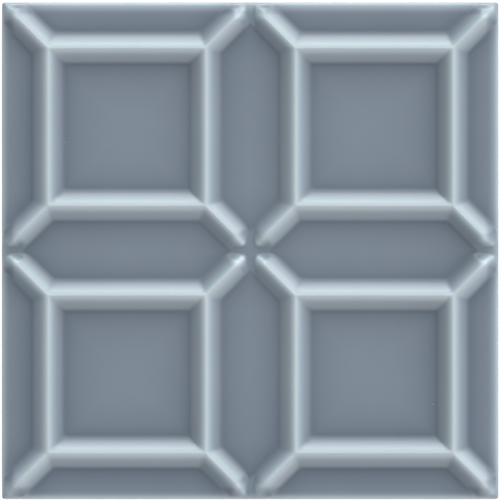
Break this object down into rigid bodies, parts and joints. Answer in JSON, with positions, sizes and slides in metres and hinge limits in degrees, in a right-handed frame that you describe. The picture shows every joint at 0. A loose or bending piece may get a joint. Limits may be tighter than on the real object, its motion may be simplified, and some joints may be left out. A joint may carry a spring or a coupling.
{
  "type": "decorative edge tile",
  "caption": "Square glazed relief wall tile with raised square frames, mitred diagonal ridges between flat panels, rounded edges and a recessed keying back.",
  "frame": {"origin": "middle of the tile's back, on the plane of its lands", "axes": "+Z out of the glazed face, +X to the picture's right and +Y to the picture's top, along the tile's sides"},
  "size_m": [0.148, 0.148, 0.011],
  "materials": {
    "glaze": "glossy blue-grey glaze, paler where it runs thin over crests and edges"
  },
  "bodies": {
    "root": {"relief_tile": "glaze"}
  },
  "joints": []
}
